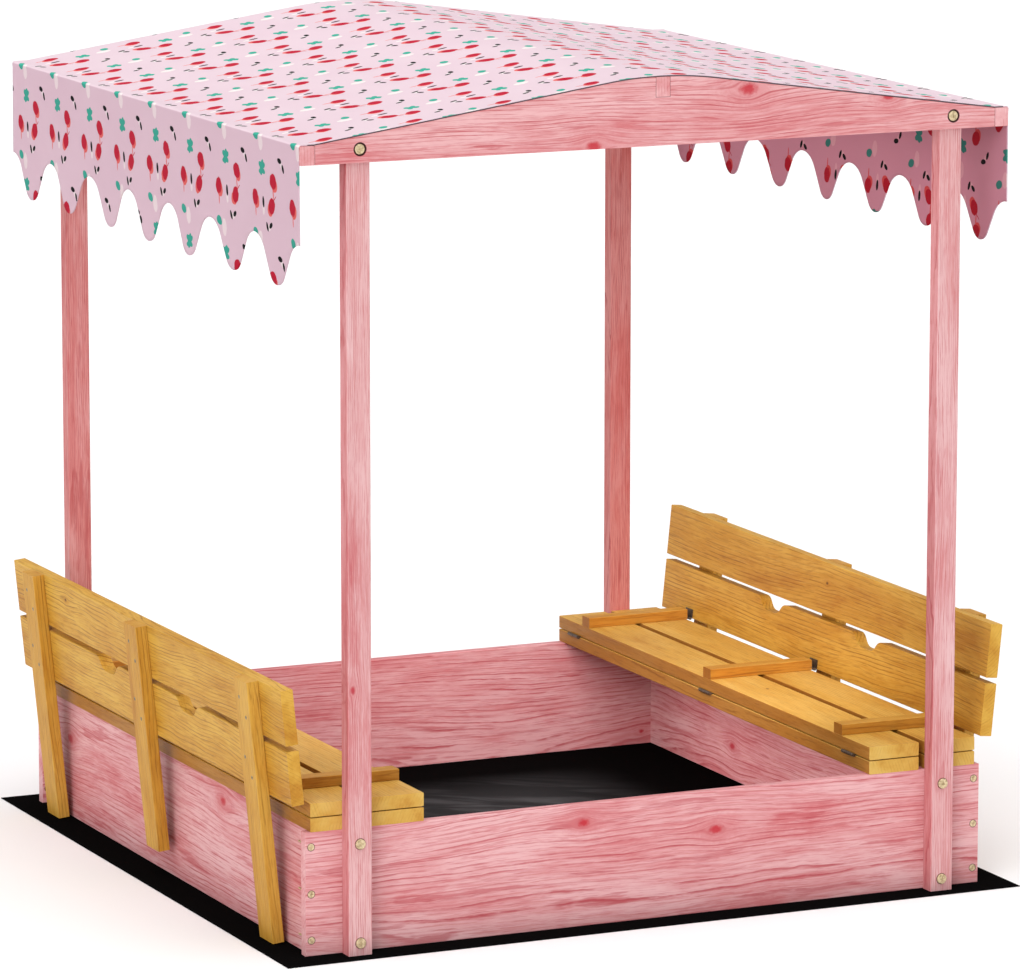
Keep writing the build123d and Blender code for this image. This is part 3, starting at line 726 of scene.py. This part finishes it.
def scallop_drop(y):
    """How far below the eave the scalloped edge is at y, from tangent arcs and straight flanks."""
    half = half_length / SCALLOPS
    tip_drop = eave_z - tip_z
    offset = abs((y + half_length) % (2 * half) - half)
    rise = (tip_drop - TIP_RADIUS) - (ARCH_DROP + ARCH_RADIUS)
    apart = math.hypot(half, rise)
    flank = math.acos((TIP_RADIUS + ARCH_RADIUS) / apart) + math.atan2(-rise, half)
    tip_reach = TIP_RADIUS * math.cos(flank)
    arch_reach = ARCH_RADIUS * math.cos(flank)
    if offset <= tip_reach:
        return tip_drop - TIP_RADIUS + math.sqrt(TIP_RADIUS**2 - offset**2)
    if half - offset <= arch_reach:
        return ARCH_DROP + ARCH_RADIUS - math.sqrt(ARCH_RADIUS**2 - (half - offset) ** 2)
    top = tip_drop - TIP_RADIUS + TIP_RADIUS * math.sin(flank)
    bottom = ARCH_DROP + ARCH_RADIUS - ARCH_RADIUS * math.sin(flank)
    return top + (bottom - top) * (offset - tip_reach) / (half - arch_reach - tip_reach)


def slack(x, y, phases):
    """How far the cloth sags between the gables, the ridge bar and the eave rails."""
    span = rail_inner_x - SAG_FROM_RIDGE - SAG_FROM_RAIL
    reach = min(max((abs(x) - SAG_FROM_RIDGE) / span, 0.0), 1.0)
    between = max(0.0, 1 - (abs(y) / (half_length - SAG_FROM_GABLE)) ** 6)
    swell = 1 + 0.25 * math.sin(7 * y + phases[0]) + 0.15 * math.sin(13 * y + 9 * x + phases[1])
    return SAG * math.sin(math.pi * reach) ** 1.2 * between * swell


def sway(side, y, drop, phases):
    """How far the valance hangs in or out of its plane, more towards its free edge."""
    free = (drop / 0.2) ** 1.5
    waves = 0.5 * math.sin(9 * y + phases[2 + side]) + 0.35 * math.sin(21 * y + phases[4 + side])
    waves += 0.25 * math.sin(36 * y + phases[7 + side])
    return -0.0005 + WAVING * free * waves


def cloth_grid(profile, lengths):
    """The cloth's middle surface, a row of points at each step along the eave, and its flat coordinates."""
    phases = np.random.default_rng(11).uniform(0, 2 * math.pi, 12)
    points, flat = [], []
    for j in range(EAVE_STEPS + 1):
        y = -half_length + 2 * half_length * j / EAVE_STEPS
        valance = scallop_drop(y) - FOLD
        halves = []
        for side in (-1, 1):
            half = [((side * x, y, z - slack(x, y, phases)), run) for (x, z), run in zip(profile, lengths)]
            for k in range(1, VALANCE_STEPS + 1):
                drop = valance * (k / VALANCE_STEPS)
                x = side_x - CLOTH / 2 + sway(side, y, drop, phases)
                half.append(((side * x, y, eave_z - FOLD - drop), lengths[-1] + drop))
            halves.append(half)
        left, right = halves
        row = [(point, -run) for point, run in reversed(left)] + right[1:]
        points.append([point for point, _ in row])
        flat.append([(-y, run) for _, run in row])
    return np.array(points), np.array(flat)


def two_surfaces(points, flat):
    """The cloth's outer and inner surfaces, set apart by its thickness and further along its hems."""
    normal = np.cross(np.gradient(points, axis=1), np.gradient(points, axis=0))
    normal /= np.linalg.norm(normal, axis=2, keepdims=True)
    middle = normal[len(points) // 2, points.shape[1] // 2]
    if middle[Z] < 0:
        normal = -normal
    to_gable = half_length - np.abs(points[:, :, Y])
    run = np.abs(flat[:, :, 1])
    to_tip = run.max(axis=1, keepdims=True) - run
    in_hem = np.clip(1.2 - np.minimum(to_gable, to_tip) / HEM_WIDTH, 0, 1)
    thick = CLOTH + (HEM - CLOTH) * in_hem[:, :, None]
    inner = points - normal * CLOTH / 2
    return inner + normal * thick, inner


def slot_of(kind, run, hem_shade_end):
    """The slot of a face of the canopy, whose first corner is run away from the ridge along the cloth."""
    if kind == LOWER:
        return INSIDE
    return HEM_SHADE if kind == END and run < hem_shade_end else OUTSIDE


def build_canopy():
    """One continuous cloth from the left valance's scallops over the ridge to the right valance's."""
    profile = roof_profile()
    lengths = lengths_along(profile)
    points, flat = cloth_grid(profile, lengths)
    vertices = stacked(*two_surfaces(points, flat))
    faces = list(cloth_faces(*flat.shape[:2]))
    materials = (
        canopy_cloth("printed_cloth", (1, 1, 1, 1)),
        painted_hem_shade(),
        canopy_cloth("printed_cloth_underside", UNDERSIDE_SHADE),
    )
    piece = add_mesh("canopy_cloth", vertices, [corners for *_, corners in faces], materials)
    mesh = piece.data
    # Painted shade on the cut ends along the gables, except near the valances
    slots = [slot_of(kind, abs(flat[j, i, 1]), lengths[-HEM_STOPS]) for kind, j, i, _ in faces]
    mesh.polygons.foreach_set("material_index", slots)
    # The print runs on over the ridge, counted from the left eave's fold
    printed = flat.copy()
    printed[:, :, 1] = -flat[:, :, 1] - lengths[-1] - FOLD
    printed = np.concatenate([printed.reshape(-1, 2)] * 2)
    corners = np.zeros(len(mesh.loops), np.int32)
    mesh.loops.foreach_get("vertex_index", corners)
    layer = mesh.uv_layers.new(name="cloth")
    layer.data.foreach_set("uv", printed[corners].astype(np.float32).ravel())
    widths = np.ptp(flat[:, :, 1], axis=1)
    area = float(widths.mean() * 2 * half_length)
    return piece, (2 * half_length, float(widths.max())), area


canopy, canopy_flat, canopy_area = build_canopy()
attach(canopy, "frame")
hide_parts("canopy")


# ---------------------------------------------------------------- ground sheet

# Width of two of the tapes that the ground cloth is woven from
TAPE_STEP = 0.0024
GROUND_STEPS = 130
GROUND_BLACK, DUST_AND_SHEEN = linear(13, 12, 12), linear(75, 77, 78)
# The direction of the streaks of dust and painted sheen
STREAK_TURN = math.radians(32)
# Scale of the waves inside the pit, which rise to 2 mm, and how far from the walls they are full
RUMPLE = 0.00077
EASE = 0.06


def ground_cloth():
    """Black woven ground cloth with streaks of dust and painted sheen, which fade out towards the walls of
    the pit.
    """
    material, t, shader = new_material("ground_cloth")
    place = t.node("ShaderNodeTexCoord").outputs["Object"]
    x, y, _ = t.split(t.turn(place, STREAK_TURN, "Z"))
    sheen_streaks = t.noise(t.vector(t.mul(x, 3.2), t.mul(y, 15.0), 0.0), 1.0, 4.0, 0.6, 0.6)
    x, y, _ = t.split(place)
    pit = t.mul(
        t.smooth(t.math("ABSOLUTE", x), 0.18, 0.44, 1.0, 0.0),
        t.smooth(t.math("ABSOLUTE", y), 0.28, 0.48, 1.0, 0.0),
    )
    # Dust and painted sheen in streaks, fading out towards the pit's walls
    dust_and_sheen = t.mul(t.smooth(sheen_streaks, 0.42, 0.66, 0.38, 1.0), pit)
    colour = t.mix(dust_and_sheen, GROUND_BLACK, DUST_AND_SHEEN)
    t.feed(shader.inputs["Base Color"], colour)
    t.feed(shader.inputs["Normal"], t.bump(t.weave(x, y, TAPE_STEP), 0.0002, 0.6))
    shader.inputs["Roughness"].default_value = 0.95
    shader.inputs["Specular IOR Level"].default_value = 0.0
    return material


def build_ground_sheet():
    """A thin cloth on the ground: flat under the boards, gently rumpled in the pit."""
    low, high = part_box("ground_sheet")
    wall_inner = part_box("right_wall")[0].x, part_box("back_wall")[0].y
    xs = np.linspace(low.x, high.x, GROUND_STEPS + 1)
    ys = np.linspace(low.y, high.y, GROUND_STEPS + 1)
    gx, gy = np.meshgrid(xs, ys)
    inside = np.clip((wall_inner[0] - np.abs(gx)) / EASE, 0, 1)
    inside = inside * np.clip((wall_inner[1] - np.abs(gy)) / EASE, 0, 1)
    rumple = (
        np.sin(11 * gx + 5 * gy + 0.6) * np.sin(4 * gx - 9 * gy + 1.1)
        + 0.6 * np.sin(23 * gx - 14 * gy) * np.sin(8 * gx + 19 * gy + 2.0)
    )
    lift = RUMPLE * inside * (1 + rumple)
    upper, lower = (np.stack([gx, gy, height], axis=2) for height in (CLOTH + lift, lift))
    faces = [corners for *_, corners in cloth_faces(GROUND_STEPS + 1, GROUND_STEPS + 1)]
    piece = add_mesh("ground_cloth", stacked(upper, lower), faces, [ground_cloth()])
    return piece, (high.x - low.x, high.y - low.y)


ground_sheet, ground_flat = build_ground_sheet()
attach(ground_sheet, "frame")
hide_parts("ground_sheet")


# ---------------------------------------------------------------- studio

FLOOR_RADIUS = 90.0
FLOOR_CORNERS = 96
FLOOR_HEIGHT = -0.0005


def build_floor():
    """A pale round floor that runs past the edges of the picture."""
    angles = [2 * math.pi * k / FLOOR_CORNERS for k in range(FLOOR_CORNERS)]
    ring = [(FLOOR_RADIUS * math.cos(a), FLOOR_RADIUS * math.sin(a), FLOOR_HEIGHT) for a in angles]
    material, _, shader = new_material("studio_floor")
    shader.inputs["Base Color"].default_value = (0.90, 0.90, 0.90, 1)
    shader.inputs["Roughness"].default_value = 0.9
    shader.inputs["Specular IOR Level"].default_value = 0.0
    return add_mesh("studio_floor", ring, [tuple(range(FLOOR_CORNERS))], [material])


floor = build_floor()

world = bpy.data.worlds.new("studio")
bpy.context.scene.world = world
world.use_nodes = True
sky = world.node_tree.nodes["Background"]
sky.inputs["Color"].default_value = (1, 1, 1, 1)
sky.inputs["Strength"].default_value = 0.45


def outwards(azimuth, elevation):
    """The direction from the object towards an azimuth and elevation, in radians; azimuth 0 is -Y."""
    level = math.cos(elevation)
    return Vector((math.sin(azimuth) * level, -math.cos(azimuth) * level, math.sin(elevation)))


def add_lamp(name, kind, energy, back):
    """A lamp that shines against the direction back; gives its data and its object."""
    lamp = bpy.data.lights.new(name, kind)
    lamp.energy = energy
    made = add_object(name, lamp)
    made.rotation_mode = "QUATERNION"
    made.rotation_quaternion = back.to_track_quat("Z", "Y")
    return lamp, made


def sun(name, azimuth, elevation, strength, angle):
    """A soft lamp that shines from an azimuth and elevation in degrees."""
    back = outwards(math.radians(azimuth), math.radians(elevation))
    lamp, _ = add_lamp(name, "SUN", strength, back)
    lamp.angle = math.radians(angle)


def panel(name, at, towards, size, energy, spread, colour):
    """A soft lamp panel inside the roofed space, unseen by the camera."""
    lamp, made = add_lamp(name, "AREA", energy, Vector(at) - Vector(towards))
    lamp.shape = "RECTANGLE"
    lamp.size, lamp.size_y = size
    lamp.spread = math.radians(spread)
    lamp.color = colour
    made.location = at
    made.visible_camera = False


sun("key", -50, 16, 1.5, 40)
sun("top", 0, 80, 2.2, 60)
panel("cloth_glow", (0, 0, 1.24), (0, 0, 0), (1.1, 1.14), 3.4, 180, (1.0, 0.96, 0.96))
panel("back_wall_fill", (0, -0.56, 0.62), (0.1, 0.6, 0.05), (0.6, 0.15), 3.0, 100, (1.0, 0.84, 0.84))
panel("pit_fill", (-0.37, 0, 0.10), (0.57, 0, 0.07), (0.9, 0.09), 0.40, 30, (1.0, 0.86, 0.86))

# The camera that was fitted to the photograph's main edges: a long lens, far off
CAMERA_AT = Vector((-4.4006, -9.6869, 2.5250))
CAMERA_YAW, CAMERA_PITCH, CAMERA_ROLL = (math.radians(angle) for angle in (-24.5772, 10.1301, 0.0314))
LENS = 227.39
SENSOR_WIDTH = 36
SHIFT_X, SHIFT_Y = -0.00195, -0.00594


def build_camera():
    """The camera at CAMERA_AT, turned by its yaw and pitch and rolled about its own line of sight."""
    view = bpy.data.cameras.new("camera")
    view.lens = LENS
    view.sensor_width = SENSOR_WIDTH
    view.shift_x, view.shift_y = SHIFT_X, SHIFT_Y
    view.clip_start, view.clip_end = 0.1, 300
    camera = add_object("camera", view)
    back = outwards(CAMERA_YAW, CAMERA_PITCH)
    right = (-back).cross(Vector((0, 0, 1))).normalized()
    up = back.cross(right)
    c, s = math.cos(CAMERA_ROLL), math.sin(CAMERA_ROLL)
    axes = (c * right + s * up, c * up - s * right, back)
    camera.matrix_world = Matrix.Translation(CAMERA_AT) @ Matrix(axes).transposed().to_4x4()
    return camera


bpy.context.scene.camera = build_camera()
bpy.context.scene.view_settings.view_transform = "Standard"
